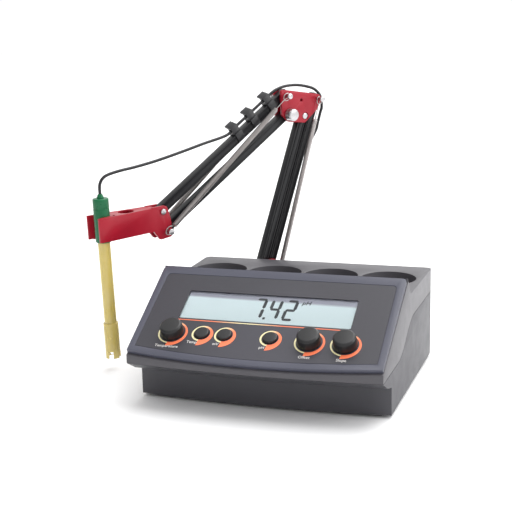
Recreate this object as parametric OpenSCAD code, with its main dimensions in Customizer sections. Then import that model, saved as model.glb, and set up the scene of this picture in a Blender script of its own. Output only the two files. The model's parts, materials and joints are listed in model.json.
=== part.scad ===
// Benchtop pH meter with a spring-balanced electrode arm.
// Millimetres, +Z up, the panel faces -Y. The origin is on the bench under the middle of the case.

/* [Case] */
// Width of the case at its front
front_w = 228; // [224:1:234]
// Width of the case at its back
rear_w = 236; // [232:1:240]
// Depth of the case from the middle of its front to its back
case_d = 222; // [218:1:226]
// How far the front bows forward in the middle
front_bow = 6; // [4:0.5:8]
// Height of the deck behind the panel
deck_z = 89.5; // [88:0.5:92]
// Thickness of the moulded walls
wall = 2.8; // [2:0.1:3.2]
// Height of the rubber feet, which is the gap under the case
foot_h = 3; // [2.8:0.1:4]
// Height of the joint line at the front
seam_low = 41.5; // [40:0.5:44]
// Height of the joint line at the back
seam_high = 67; // [62:0.5:70]
// How far the foot of the front wall stands back from the lip
chin_depth = 32; // [28:1:36]
// Radius of the four wells in the deck
well_r = 26.5; // [22:0.5:27]
// Depth of the four wells
well_depth = 9; // [5:0.5:12]
// Spacing of the four wells
well_pitch = 56.5; // [56:0.5:57.5]

/* [Panel] */
// Slope of the panel
panel_tilt = 28.7; // [27:0.1:30]
// Height of the panel's front edge at its corners
panel_front_z = 53.8; // [53:0.2:55]
// Length of the panel up its slope
panel_len = 111; // [109:0.5:112]
// Thickness of the bezel
bezel_t = 4; // [3:0.5:5]
// Width of the display opening in the label
window_w = 157; // [150:1:160]
// Height of the display opening in the label
window_h = 35.4; // [30:0.2:36]
// Radius of the control knobs
knob_r = 10.5; // [9:0.5:12]
// Height of the control knobs
knob_h = 10; // [9:0.5:14]
// Radius of the round keys
key_r = 6.4; // [5:0.1:6.5]
// How far a key stands out of the label
key_out = 2.2; // [1.5:0.1:3]
// Travel of a key
key_travel = 1.2; // [0.8:0.1:1.4]

/* [Arm] */
// Distance of the swivel to the left of the case's middle
swivel_x = -64; // [-64:1:-60]
// Distance of the swivel behind the case's middle
swivel_y = 140; // [140:1:146]
// Direction of the arm in plan, from +X
arm_turn = 234; // [230:1:236]
// Distance between the pivots of each bar
bar_len = 184; // [180:1:188]
// Lean of the lower arm, from the arm's forward direction
lower_angle = 110.3; // [109:0.1:111]
// Slope of the upper arm
upper_angle = -33.8; // [-35:0.1:-33]
// Droop of the electrode holder
droop = 1.8; // [0:0.1:3]
// Height of the bars' section
bar_h = 9; // [8.5:0.1:9.2]
// Thickness of the bars' section
bar_t = 8; // [7:0.1:8]
// Thickness of the moulded side plates
plate_t = 3; // [2.5:0.1:3]
// Radius of the pivot pins
pin_r = 2; // [1.5:0.1:2.2]
// Radius of the balance springs
spring_r = 2.7; // [2:0.1:2.8]

/* [Electrode] */
// Radius of the electrode's cap
cap_r = 7.75; // [7.5:0.05:7.8]
// Length of the cap
cap_len = 42.5; // [40:0.5:44]
// Radius of the electrode's tube
tube_r = 6; // [5.5:0.1:6.2]
// Length from the cap to the tip of the guard
stem_len = 115.5; // [110:0.5:116]
// Radius of the guard round the bulb
guard_r = 7.3; // [7:0.1:7.5]
// Radius of the electrode's cable
cable_r = 1.5; // [1.2:0.1:1.6]

/* [Hidden] */
$fn = 64;
slack = 0.05;

// --- Case measures ---
half_d = case_d / 2;
corner_y = front_bow - half_d;
bow_r = (pow(front_w / 2, 2) + pow(front_bow, 2)) / (2 * front_bow);
bow_sweep = 20;
lip_wall_z = 28;
panel_top_y = corner_y + panel_len * cos(panel_tilt);
panel_top_z = panel_front_z + panel_len * sin(panel_tilt);
hood_foot_y = panel_top_y + 14;
seam_rise = [-45, 22];
seam_gap = 0.5;
nose_join = -60;
big = 400;
well_x = [-1.5 * well_pitch, -0.5 * well_pitch, 0.5 * well_pitch, 1.5 * well_pitch];
well_y = 59.5;
floor_z = foot_h + wall;
rear_post = [100, 98];
front_post = [104, -60];
post_r = 4;
post_split = 40;
foot_xy = [98, -58, 96];
foot_r = 7;

// --- Panel measures ---
knob_at = [[-78.6, 25], [46, 25.2], [77.5, 25.2]];
key_at = [[-51.5, 26.3], [-30.5, 26.3], [11, 26.3]];
window_at = [-0.5, 61.8];
label_t = 0.4;
label_sink = 0.5;
window_margin = 2;
shaft_r = 3;
board_h = -17.6;
board_t = 1.6;
board_top = board_h + board_t;
bow_up = front_bow / cos(panel_tilt);

// --- Arm measures, in the arm's own plane as [forward, up] ---
plate_in = bar_t / 2 + 0.5;
plate_out = plate_in + plate_t;
spring_y = plate_out + spring_r + 0.5;
pin_end = spring_y + spring_r + 1;
bar_end = 5.5;
bore_r = pin_r + slack;
along_lower = [cos(lower_angle), sin(lower_angle)];
along_upper = [cos(upper_angle), sin(upper_angle)];
foot_front = [12.5, 58];
link_lower = [-17.1, 16.8];
foot_rear = foot_front + link_lower;
foot_anchor = [-6, 53];
elbow_front = foot_front + bar_len * along_lower;
elbow_rear = elbow_front + link_lower;
elbow_top = elbow_front + [25.6, 22.6];
link_upper = [-4.2, -19.6];
elbow_low = elbow_top + link_upper;
holder_top = elbow_top + bar_len * along_upper;
holder_low = holder_top + link_upper;
clip_at = [18, 44, 67.5];
clip_len = 9;
cable_rise = 10;

// --- Holder and electrode, measured from the holder's upper pivot ---
stem_x = 63;
holder_up = 4.9;
holder_down = -18.3;
holder_wall = 2;
spare_hole_r = 8;
spare_hole_x = 37;
cap_top = 22;
cap_bottom = cap_top - cap_len;
tip_z = cap_bottom - stem_len;
guard_len = 35;
relief_len = 4;

// --- Cable route, in the arm's frame as [forward, sideways, up] down to the bench ---
arc_route = [[190.4, 0, 184.5], [187.6, 0, 188.9], [182, 0, 192], [170, 0, 194.4],
    [150, 0, 196.7], [127, 0, 200.3],
    [99, 0, 206], [72, 0, 212]];
elbow_route = [[-20, 0, 260], [-30, 0, 262.5], [-44, 0, 263], [-58, 0, 261], [-70, 0, 257], [-78, 0, 249],
    [-79.5, 0, 238], [-77.5, 0, 232], [-75.5, 0, 226]];
back_route = [[-73.5, 0, 220], [-71.5, 0, 214], [-67, -6, 200], [-62, -13, 184], [-55, -16, 166],
    [-45, -16, 144], [-36, -17, 124], [-28, -17, 106], [-26, -17, 100], [-24, -17, 94]];
drop_route = [[-22, -17, 88], [-20, -17, 82], [-19, -18, 72], [-20, -18, 60], [-21, -18, 54], [-22, -18, 48]];
landing_route = [[-23, -18, 42], [-24, -18, 36]];
bench_route = [[-62, 176, 16], [-57, 183, 5], [-46, 187, 1.6], [-26, 188.5, 1.6], [-6, 188, 1.6],
    [16, 187, 1.6],
    [40, 186.5, 1.6]];
coil_at = [40, 165];
coil_inner = 12.5;
coil_turns = 3;
coil_outer = coil_inner + coil_turns * 2 * cable_r;
tail_route = [[40, 177.5, 4.2], [48, 178.2, 5.2], [56, 177.2, 9], [61.5, 173.5, 16],
    [63.4, 168.5, 23.5], [63, 163, 28.5],
    [62, 157, 30]];
bnc_at = [62, 30];
plug_y = 152;
probe_at = [36, 30];
power_at = [90, 28];

// --- Outline helpers ---
function unit(v) = v / norm(v);
function corner_arc(a, b, c, r, steps = 5) =
    r <= 0 ? [b] :
    let (u = unit(a - b), v = unit(c - b), half = acos(u * v) / 2,
        centre = b + unit(u + v) * r / sin(half),
        p = b + u * r / tan(half) - centre, q = b + v * r / tan(half) - centre,
        turn = atan2(p.x * q.y - p.y * q.x, p * q))
    [for (k = [0:steps]) let (t = turn * k / steps)
        centre + [p.x * cos(t) - p.y * sin(t), p.x * sin(t) + p.y * cos(t)]];
// Each point is [x, y, corner radius]
function rounded(pts) = let (n = len(pts))
    [for (i = [0:n - 1]) let (a = pts[(i + n - 1) % n], b = pts[i], c = pts[(i + 1) % n])
        each corner_arc([a.x, a.y], [b.x, b.y], [c.x, c.y], b.z)];
function box2(w, h, r, at = [0, 0]) = rounded([
    [at.x - w / 2, at.y - h / 2, r], [at.x + w / 2, at.y - h / 2, r],
    [at.x + w / 2, at.y + h / 2, r], [at.x - w / 2, at.y + h / 2, r]]);
// Bottom edge of the panel pieces, bowed like the case's front
function bowed(half_bottom, half_top, low, high) = concat(
    [for (k = [-8:8]) let (x = half_bottom * k / 8) [x, low - bow_up * (1 - pow(k / 8, 2))]],
    corner_arc([half_bottom, low], [half_top, high], [-half_top, high], 4),
    corner_arc([half_top, high], [-half_top, high], [-half_bottom, low], 4));

// --- Placing helpers ---
module on_panel(at = [0, 0], h = 0) {
    translate([0, corner_y, panel_front_z]) rotate([panel_tilt, 0, 0]) translate([at.x, at.y, h]) children();
}
module in_arm() {
    translate([swivel_x, swivel_y, 0]) rotate([0, 0, arm_turn]) children();
}
module in_holder() {
    in_arm() translate([holder_top.x, 0, holder_top.y]) rotate([0, droop, 0]) children();
}
module in_electrode() {
    in_holder() translate([stem_x, 0, 0]) children();
}
// A flat piece of the arm's plane, from one side distance to another
module side_plate(points, y0, y1) {
    translate([0, y1, 0]) rotate([90, 0, 0]) linear_extrude(y1 - y0) polygon(points);
}
module cross_pin(at, r, y0, y1) {
    translate([at.x, y0, at.y]) rotate([-90, 0, 0]) cylinder(r = r, h = y1 - y0);
}
module both_sides() {
    children();
    mirror([0, 1, 0]) children();
}

// --- Case shell ---
function side_points(g) = [
    [nose_join, 0], [half_d - g, 0], [half_d - g, deck_z - g],
    [hood_foot_y - 0.6 * g, deck_z - g], [panel_top_y - 0.6 * g, panel_top_z], [nose_join, panel_top_z]];
function plan_points(g) = rounded([
    [-front_w / 2 + g, -half_d - 10, 0], [front_w / 2 - g, -half_d - 10, 0],
    [rear_w / 2 - g, half_d - g, 5 - g], [-rear_w / 2 + g, half_d - g, 5 - g]]);
function nose_points(g) = [
    [bow_r - g, panel_top_z], [bow_r - g, seam_low + 0.4 * g],
    [bow_r - chin_depth * 0.55, lip_wall_z + 4 + 0.9 * g], [bow_r - chin_depth - g, lip_wall_z + 0.8 * g],
    [bow_r - chin_depth - g, 0], [bow_r + nose_join, 0], [bow_r + nose_join, panel_top_z]];
module case_solid(g) {
    intersection() {
        translate([0, 0, foot_h + g]) linear_extrude(big) polygon(plan_points(g));
        union() {
            rotate([90, 0, 90]) translate([0, 0, -big / 2]) linear_extrude(big) polygon(side_points(g));
            translate([0, bow_r - half_d, 0]) rotate([0, 0, -90 - bow_sweep / 2])
                rotate_extrude(angle = bow_sweep, $fn = 720) polygon(nose_points(g));
        }
    }
}
// Everything above the slope of the panel, at a depth below its face
module above_panel(depth) {
    on_panel([0, 0], -depth) translate([-big / 2, -60, 0]) cube([big, panel_len + 60, big]);
}
function seam_points(lift) = concat(
    [[-half_d - 20, seam_low + lift]],
    [for (k = [0:16]) let (t = k / 16)
        [seam_rise[0] + (seam_rise[1] - seam_rise[0]) * t,
            seam_low + lift + (seam_high - seam_low) * (1 - cos(180 * t)) / 2]],
    [[half_d + 20, seam_high + lift]]);
module below_seam(lift) {
    rotate([90, 0, 90]) translate([0, 0, -big / 2]) linear_extrude(big)
        polygon(concat([[half_d + 20, -1], [-half_d - 20, -1]], seam_points(lift)));
}
module case_posts(r, z0, z1) {
    for (side = [-1, 1]) {
        translate([side * rear_post.x, rear_post.y, z0]) cylinder(r = r, h = z1 - z0, $fn = 32);
        translate([side * front_post.x, front_post.y, z0]) cylinder(r = r, h = z1 - z0, $fn = 32);
    }
}
module base_case() color("#4b4c55") difference() {
    union() {
        difference() {
            intersection() {
                case_solid(0);
                below_seam(-seam_gap);
            }
            case_solid(wall);
        }
        case_posts(post_r, foot_h + 1, post_split);
    }
    case_posts(1.6, foot_h - 1, post_split + 1);
    rear_holes();
    for (side = [-1, 1])
        translate([swivel_x + 24 + side * 34, 70, foot_h - 1]) cylinder(r = 1.6, h = wall + 2, $fn = 32);
}
module rear_holes() {
    translate([bnc_at.x, half_d - 10, bnc_at.y]) rotate([-90, 0, 0]) cylinder(r = 6.6, h = 20);
    translate([probe_at.x, half_d - 10, probe_at.y]) rotate([-90, 0, 0]) cylinder(r = 5.1, h = 20);
    translate([power_at.x - 5, half_d - 10, power_at.y - 5.6]) cube([10, 20, 11.2]);
}
module top_case() color("#55565f") {
    difference() {
        union() {
            difference() {
                case_solid(0);
                below_seam(0);
                case_solid(wall);
                above_panel(bezel_t);
            }
            for (x = well_x)
                translate([x, well_y, deck_z - well_depth - 2])
                    cylinder(r = well_r + 1.6, h = well_depth + 1);
            for (side = [-1, 1]) {
                translate([side * rear_post.x, rear_post.y, post_split + 0.3])
                    cylinder(r = post_r, h = deck_z - post_split - wall + 0.5, $fn = 32);
                translate([side * front_post.x, front_post.y, post_split + 0.3])
                    cylinder(r = post_r, h = 22, $fn = 32);
                translate([side * (front_post.x + 5.5) - 4, front_post.y - 1, seam_low + 4]) cube([8, 2, 16]);
            }
        }
        for (x = well_x) translate([x, well_y, deck_z - well_depth]) cylinder(r = well_r, h = well_depth + 1);
        for (side = [-1, 1]) {
            translate([side * rear_post.x, rear_post.y, post_split]) cylinder(r = 1.3, h = 14, $fn = 32);
            translate([side * front_post.x, front_post.y, post_split]) cylinder(r = 1.3, h = 14, $fn = 32);
        }
    }
}

// --- Panel pieces ---
module front_bezel() color("#6d7184") difference() {
    on_panel([0, 0], -bezel_t) linear_extrude(bezel_t)
        polygon(bowed(front_w / 2 - 0.2, front_w / 2 + 1.3, 0.3, panel_len - 0.3));
    on_panel([0, 0], -label_sink) linear_extrude(5) polygon(bowed(108.5, 108.5, 6.3, 100.9));
    on_panel(window_at, -bezel_t - 1) linear_extrude(8)
        polygon(box2(window_w + 2 * window_margin + 0.4, window_h + 2 * window_margin + 0.4, 1));
    for (at = knob_at) on_panel(at, -bezel_t - 1) cylinder(r = shaft_r + 1.6, h = 8);
    for (at = key_at) on_panel(at, -bezel_t - 1) cylinder(r = key_r + 0.4, h = 8);
}
module panel_label() color("#4a4b57") difference() {
    on_panel([0, 0], -label_sink) linear_extrude(label_t) polygon(bowed(108.1, 108.1, 6.7, 100.5));
    on_panel(window_at, -1) linear_extrude(3) polygon(box2(window_w, window_h, 1.5));
    for (at = knob_at) on_panel(at, -1) cylinder(r = shaft_r + 1.6, h = 3);
    for (at = key_at) on_panel(at, -1) cylinder(r = key_r + 0.4, h = 3);
}
module display_window() color("#dfe9ea") on_panel(window_at, -label_sink - 1.3) linear_extrude(1.2)
    polygon(box2(window_w + 2 * window_margin, window_h + 2 * window_margin, 1));
module display_module() color("#b9c3c2") {
    on_panel(window_at, -bezel_t - 3.5) linear_extrude(3.3) polygon(box2(window_w + 6, window_h + 8, 1));
    on_panel(window_at, -bezel_t - 0.4) linear_extrude(bezel_t - 1.7)
        polygon(box2(window_w + 2.4, window_h + 2.4, 1));
    for (x = [-70, 70]) on_panel([window_at.x + x, window_at.y], board_top)
        cylinder(r = 3, h = -bezel_t - 3.5 - board_top);
}
module main_board() color("#2f6b46") difference() {
    on_panel([0, 52], board_h) linear_extrude(board_t) polygon(box2(184, 84, 2));
    for (x = [-86, 86], y = [16, 88]) on_panel([x, y], board_h - 1) cylinder(r = 1.7, h = 4, $fn = 32);
}
module board_screws() color("#c9ccd0") for (x = [-86, 86], y = [16, 88]) {
    on_panel([x, y], board_top + 0.05) cylinder(r = 3, h = 1.8, $fn = 32);
    on_panel([x, y], board_h - 6) cylinder(r = 1.5, h = 8, $fn = 32);
}
module control_knob(at) color("#1f2024") difference() {
    union() {
        on_panel(at, 0.6) cylinder(r = knob_r, h = 2);
        on_panel(at, 2.6) cylinder(r1 = knob_r, r2 = knob_r - 0.6, h = knob_h - 4);
        on_panel(at, knob_h - 1.4) cylinder(r1 = knob_r - 0.6, r2 = knob_r - 2.2, h = 1.4);
    }
    on_panel(at, 0) cylinder(r = shaft_r + 0.02, h = knob_h - 2.5);
}
module control_shaft(at) color("#b8bcc2") on_panel(at, board_top + 3)
    cylinder(r = shaft_r, h = knob_h - 3 - board_top - 3);
module potentiometers() color("#8b8f96") for (at = knob_at) difference() {
    union() {
        on_panel(at, board_top) cylinder(r = 8.5, h = 8);
        on_panel(at, board_top + 8) cylinder(r = 4.4, h = -bezel_t - board_top - 8.4);
    }
    on_panel(at, board_top + 2) cylinder(r = shaft_r + slack, h = 20);
}
module round_key(at) color("#17181b") {
    on_panel(at, -bezel_t - 1) cylinder(r = key_r, h = bezel_t + 0.4 + key_out);
    on_panel(at, key_out - 0.6) cylinder(r1 = key_r, r2 = key_r - 0.7, h = 0.6);
    on_panel(at, -bezel_t - 2) cylinder(r = key_r + 1.1, h = 1.4);
}
module key_switches() color("#26272b") for (at = key_at) {
    on_panel(at, board_top) translate([-3, -3, 0]) cube([6, 6, 4.3]);
    on_panel(at, board_top + 4.2) cylinder(r = 1.75, h = -bezel_t - 2.3 - key_travel - board_top - 4.2);
}

// --- Under and behind the case ---
module feet() color("#1c1c1e") for (side = [-1, 1], y = [foot_xy[1], foot_xy[2]])
    translate([side * foot_xy[0], y, 0]) cylinder(r = foot_r, h = foot_h, $fn = 48);
module case_screws() color("#a9adb3") {
    case_posts(1.2, foot_h + 1.2, post_split + 10);
    case_posts(1.5, foot_h + 0.1, foot_h + 1.3);
}
module input_board() color("#2f6b46") translate([2, 60, 20]) cube([93, 42, 1.6]);
module bnc_socket() color("#c3c6ca") {
    translate([bnc_at.x, 92, bnc_at.y]) rotate([-90, 0, 0]) difference() {
        union() {
            cylinder(r = 7.4, h = half_d - wall - 92 - 0.1);
            cylinder(r = 6.4, h = half_d + 0.5 - 92);
            cylinder(r = 4.8, h = half_d + 10 - 92);
        }
        translate([0, 0, half_d - 1 - 92]) cylinder(r = 3.5, h = 12);
    }
    translate([bnc_at.x, half_d - 2, bnc_at.y]) rotate([-90, 0, 0]) cylinder(r = 0.7, h = 9, $fn = 24);
    translate([bnc_at.x - 5, 90, 21.7]) cube([10, 12, 3]);
}
module probe_socket() color("#1d1d20") difference() {
    union() {
        translate([probe_at.x - 6, 88, 21.7]) cube([12, half_d - wall - 88 - 0.1, 14.5]);
        translate([probe_at.x, 100, probe_at.y]) rotate([-90, 0, 0]) cylinder(r = 5, h = half_d + 1.2 - 100);
    }
    translate([probe_at.x, half_d + 1.2 - 14, probe_at.y]) rotate([-90, 0, 0]) cylinder(r = 1.8, h = 20);
}
module power_socket() color("#1d1d20") difference() {
    translate([power_at.x - 4.8, 96, power_at.y - 5.4]) cube([9.6, half_d + 0.2 - 96, 10.8]);
    translate([power_at.x, half_d - 8.8, power_at.y]) rotate([-90, 0, 0]) difference() {
        cylinder(r = 3.2, h = 20);
        translate([0, 0, -1]) cylinder(r = 1, h = 9);
    }
}
plate_w = 94;
plate_x = swivel_x + 31;
module stand_plate() color("#2a2b2f") difference() {
    linear_extrude(2.5) polygon(box2(plate_w, 200, 10, [plate_x, 70]));
    for (side = [-1, 1]) translate([swivel_x + 24 + side * 34, 70, -1]) cylinder(r = 1.9, h = 5, $fn = 32);
    for (side = [-1, 1]) translate([swivel_x + 24 + side * 34, 70, -1]) cylinder(r = 3.4, h = 2.2, $fn = 32);
    for (k = [0:2]) translate([swivel_x, swivel_y, -1]) rotate([0, 0, 120 * k])
        translate([15, 0, 0]) cylinder(r = 1.6, h = 5, $fn = 32);
}
module plate_screws() color("#a9adb3") {
    for (side = [-1, 1]) translate([swivel_x + 24 + side * 34, 70, 0.2]) {
        cylinder(r = 3.2, h = 0.9, $fn = 32);
        cylinder(r = 1.4, h = 7, $fn = 32);
    }
    for (k = [0:2]) translate([swivel_x, swivel_y, 0.2]) rotate([0, 0, 120 * k])
        translate([15, 0, 0]) cylinder(r = 1.4, h = 5, $fn = 32);
}

// --- Swivel ---
post_top = 36;
module swivel_post() color("#9a9da3") difference() {
    translate([swivel_x, swivel_y, 2.6]) rotate_extrude() polygon([
        [0, 0], [19, 0], [19, 3], [17.5, 4.4], [8, 4.4], [8, post_top - 2.6], [0, post_top - 2.6]]);
    for (k = [0:2]) translate([swivel_x, swivel_y, 2]) rotate([0, 0, 120 * k])
        translate([15, 0, 0]) cylinder(r = 1.5, h = 3.6, $fn = 32);
}
module swivel_bush() color("#e7e4da") translate([swivel_x, swivel_y, 7.1]) rotate_extrude()
    polygon([[8 + slack, 0], [13, 0], [13, 1.6], [10, 1.6], [10, 27], [8 + slack, 27]]);
// The bracket: a hub on the post, carrying two cheeks for the lower bars
bracket_outline = rounded([[-16, 38, 2], [16, 38, 4], [20, 50, 8], [20.5, 60, 8], [10, 69, 6], [2, 83, 7],
    [-11, 83, 7], [-14, 68, 10], [-15, 48, 6]]);
module swivel_bracket() color("#a31f30") in_arm() difference() {
    union() {
        difference() {
            translate([0, 0, 9]) cylinder(r = 14, h = 34);
            translate([0, 0, 8]) cylinder(r = 10 + slack, h = post_top - 8 + 0.6);
        }
        both_sides() side_plate(bracket_outline, plate_in, plate_out);
    }
    for (at = [foot_front, foot_rear, foot_anchor]) cross_pin(at, bore_r, -20, 20);
    translate([0, 0, 43]) translate([-30, -plate_in, 0]) cube([60, 2 * plate_in, 60]);
}
// A pin with a head at each end, reaching past the plates to hold the springs
module headed_pin(at, reach, head_r) {
    cross_pin(at, pin_r, -reach, reach);
    both_sides() cross_pin(at, head_r, reach - 0.1, reach + 1.6);
}
module bracket_pins() color("#c9ccd0") in_arm() {
    headed_pin(foot_front, plate_out + 0.2, 3.2);
    cross_pin(foot_rear, pin_r, -plate_out - 0.1, plate_out + 0.1);
    both_sides() cross_pin(foot_rear, 3.2, plate_out + 0.05, plate_out + 0.4);
    headed_pin(foot_anchor, pin_end, 3);
}

// --- Bars ---
// The section has two shallow grooves in each side, as drawn bar has
function bar_section() = let (a = bar_t / 2, b = bar_h / 2, g = 0.7)
    [[-a, -b], [a, -b], [a, -b + 1.6], [a - g, -b + 1.6], [a - g, -b + 2.4], [a, -b + 2.4],
        [a, b - 2.4], [a - g, b - 2.4], [a - g, b - 1.6], [a, b - 1.6], [a, b],
        [-a, b], [-a, b - 1.6], [-a + g, b - 1.6], [-a + g, b - 2.4], [-a, b - 2.4],
        [-a, -b + 2.4], [-a + g, -b + 2.4], [-a + g, -b + 1.6], [-a, -b + 1.6]];
module bar(from, angle) {
    in_arm() difference() {
        translate([from.x, 0, from.y]) rotate([0, -angle, 0]) translate([-bar_end, 0, 0])
            rotate([90, 0, 90]) linear_extrude(bar_len + 2 * bar_end) polygon(bar_section());
        cross_pin(from, bore_r, -10, 10);
        cross_pin(from + bar_len * [cos(angle), sin(angle)], bore_r, -10, 10);
    }
}
module lower_bar_front() color("#34353b") bar(foot_front, lower_angle);
module lower_bar_rear() color("#2c2d33") bar(foot_rear, lower_angle);
module upper_bar() color("#34353b") bar(elbow_top, upper_angle);
module upper_link() color("#3a3b44") bar(elbow_low, upper_angle);

// --- Springs: a close-wound coil between an eye and a thin drawn link ---
module spring_pair(from, to, thin) {
    span = norm(to - from);
    angle = atan2(to.y - from.y, to.x - from.x);
    in_arm() both_sides() translate([from.x, spring_y, from.y]) rotate([0, -angle, 0]) {
        eye();
        rotate([0, 90, 0]) translate([0, 0, 2.6]) cylinder(r = 1.5, h = thin - 2.6, $fn = 24);
        rotate([0, 90, 0]) translate([0, 0, thin]) cylinder(r = spring_r, h = span - thin - 8, $fn = 24);
        rotate([0, 90, 0]) translate([0, 0, span - 8]) cylinder(r = 1.5, h = 5.4, $fn = 24);
        translate([span, 0, 0]) eye();
    }
}
module eye() {
    rotate([90, 0, 0]) difference() {
        translate([0, 0, -1.1]) cylinder(r = 3.6, h = 2.2, $fn = 32);
        translate([0, 0, -2]) cylinder(r = pin_r + 0.3, h = 4, $fn = 32);
    }
}
module lower_springs() color("#d2d4d8") spring_pair(elbow_rear, foot_anchor, 22);
module upper_springs() color("#d2d4d8") spring_pair(elbow_top, holder_low, 20);

// --- Elbow ---
function elbow_outline() = rounded([for (p = [[31.5, 29.6, 3], [-26, 20.6, 6], [-15.5, 5.6, 10],
    [0.7, -7, 3.5],
    [22.5, -4.4, 4], [30.4, 2.6, 4]]) [elbow_front.x + p.x, elbow_front.y + p.y, p.z]]);
module elbow_plate(y0, y1) color("#b02538") in_arm() difference() {
    side_plate(elbow_outline(), y0, y1);
    for (at = [elbow_front, elbow_rear, elbow_top, elbow_low]) cross_pin(at, bore_r, -20, 20);
    cross_pin(spacer_at, 1.7, -20, 20);
    if (y0 > 0) cross_pin(elbow_front, 3.9, y1 - 1.4, y1 + 1);
}
spacer_at = elbow_front + [5, 17];
module elbow_plate_front() elbow_plate(plate_in, plate_out);
module elbow_plate_rear() elbow_plate(-plate_out, -plate_in);
module elbow_spacer() color("#b02538") in_arm() difference() {
    cross_pin(spacer_at, 4.6, -plate_in, plate_in);
    cross_pin(spacer_at, 1.5, -20, 20);
}
module elbow_pins() color("#d7d9dc") in_arm() {
    headed_pin(elbow_rear, pin_end, 3);
    headed_pin(elbow_top, pin_end, 3);
    cross_pin(elbow_front, pin_r, -plate_out - 1.5, plate_out - 0.3);
    cross_pin(elbow_front, 3.2, plate_out - 1.3, plate_out - 0.2);
    cross_pin(elbow_front, 3.2, -plate_out - 1.8, -plate_out - 0.1);
}
knob_flute = 0.7;
module elbow_knob() color("#d9dbde") in_arm() {
    difference() {
        union() {
            cross_pin(elbow_low, 6.2, plate_out + 0.5, plate_out + 8);
            cross_pin(elbow_low, 5.6, plate_out + 7.9, plate_out + 8.8);
        }
        for (k = [0:11]) cross_pin(elbow_low + 6.4 * [cos(30 * k), sin(30 * k)], knob_flute,
                plate_out + 2, plate_out + 12);
    }
    cross_pin(elbow_low, pin_r, -plate_out - 1.5, plate_out + 1);
    cross_pin(elbow_low, 3.4, -plate_out - 2.5, -plate_out - 0.4);
}

// --- Holder ---
function holder_outer() = [[2, plate_out], [10, plate_out], [58, 12.5], [73, 12.5],
    [73, -12.5], [58, -12.5], [10, -plate_out], [2, -plate_out]];
function holder_inner() = [[-1, plate_in], [10, plate_in + 0.5], [58, 12.5 - holder_wall],
    [80, 12.5 - holder_wall],
    [80, -12.5 + holder_wall], [58, -12.5 + holder_wall], [10, -plate_in - 0.5], [-1, -plate_in]];
function cheek_outline() = rounded([[-4.5, 5.6, 4], [12, 5.6, 0], [12, -17.5, 0],
    [5, -27.5, 2.5], [-9.5, -26, 3.5],
    [-8.2, -8, 8]]);
module electrode_holder() color("#a91f33") difference() {
    union() {
        in_holder() {
            both_sides() side_plate(cheek_outline(), plate_in, plate_out);
            translate([0, 0, holder_down]) linear_extrude(holder_up - holder_down) difference() {
                polygon(holder_outer());
                polygon(holder_inner());
            }
            translate([0, 0, holder_up - holder_wall]) linear_extrude(holder_wall) intersection() {
                polygon(holder_outer());
                translate([7.5, -20]) square([46, 40]);
            }
            translate([stem_x, 0, holder_down]) linear_extrude(holder_up - holder_down) difference() {
                circle(r = 10.7);
                circle(r = cap_r + slack);
                translate([2, -8.4]) square([20, 16.8]);
            }
        }
    }
    in_holder() translate([spare_hole_x, 0, 0]) cylinder(r = spare_hole_r, h = 10);
    in_arm() for (at = [holder_top, holder_low]) cross_pin(at, bore_r, -20, 20);
}
module holder_pins() color("#c9ccd0") in_arm() {
    headed_pin(holder_top, plate_out + 0.1, 2.8);
    headed_pin(holder_low, pin_end, 3);
}

// --- Clips that carry the cable along the upper bar ---
module cable_clip(at) {
    hold = bar_h / 2 + 0.05;
    side = bar_t / 2 + 0.05;
    translate([elbow_top.x, 0, elbow_top.y]) rotate([0, -upper_angle, 0]) translate([at - clip_len / 2, 0, 0])
        rotate([90, 0, 90]) linear_extrude(clip_len) difference() {
            union() {
                polygon([[-side - 1.3, -1], [-side, -1], [-side, hold], [side, hold],
                    [side, -3.2], [side + 1.3, -3.2],
                    [side + 1.3, hold + 1.5], [3, hold + 1.5], [3, cable_rise + 3], [-6.5, cable_rise + 5.5],
                    [-6.5, cable_rise + 3.6], [-3, cable_rise + 2.6], [-3, hold + 1.5],
                    [-side - 1.3, hold + 1.5]]);
            }
            translate([0, cable_rise]) circle(r = cable_r + 0.3, $fn = 24);
        }
}
module cable_clips() color("#202125") in_arm() for (at = clip_at) cable_clip(at);

// --- Electrode ---
core_r = 2.2;
ring_z = tip_z + 11;
module electrode_cap() color("#12744a") in_electrode() translate([0, 0, cap_bottom]) difference() {
    rotate_extrude() polygon([[0, 0], [cap_r - 0.6, 0], [cap_r, 0.8], [cap_r, 32.6], [cap_r - 0.4, 33],
        [cap_r, 33.4], [cap_r, cap_len - 0.8], [cap_r - 0.8, cap_len], [0, cap_len]]);
    translate([0, 0, -1]) cylinder(r = tube_r - 0.6, h = 9);
    translate([0, 0, cap_len - 4]) cylinder(r = 2.5, h = 6);
}
module electrode_tube() color("#d9b94a") in_electrode() difference() {
    translate([0, 0, tip_z + 12.5]) cylinder(r = tube_r, h = stem_len - 12.6);
    translate([0, 0, tip_z + 11]) cylinder(r = tube_r - 1.2, h = stem_len);
}
module electrode_guard() color("#dcc464") in_electrode() difference() {
    translate([0, 0, tip_z]) cylinder(r = guard_r, h = guard_len);
    translate([0, 0, tip_z + 12.4]) cylinder(r = tube_r + 0.02, h = guard_len);
    translate([0, 0, tip_z - 1]) cylinder(r = guard_r - 1.4, h = guard_len);
    for (k = [0:3]) rotate([0, 0, 45 + 90 * k]) translate([0, -2.4, tip_z - 1]) cube([10, 4.8, 8]);
}
module junction_ring() color("#d98324") in_electrode() difference() {
    translate([0, 0, ring_z - 3]) cylinder(r = guard_r - 1.45, h = 4);
    translate([0, 0, ring_z - 4]) cylinder(r = core_r + 1.2, h = 6);
}
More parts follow.
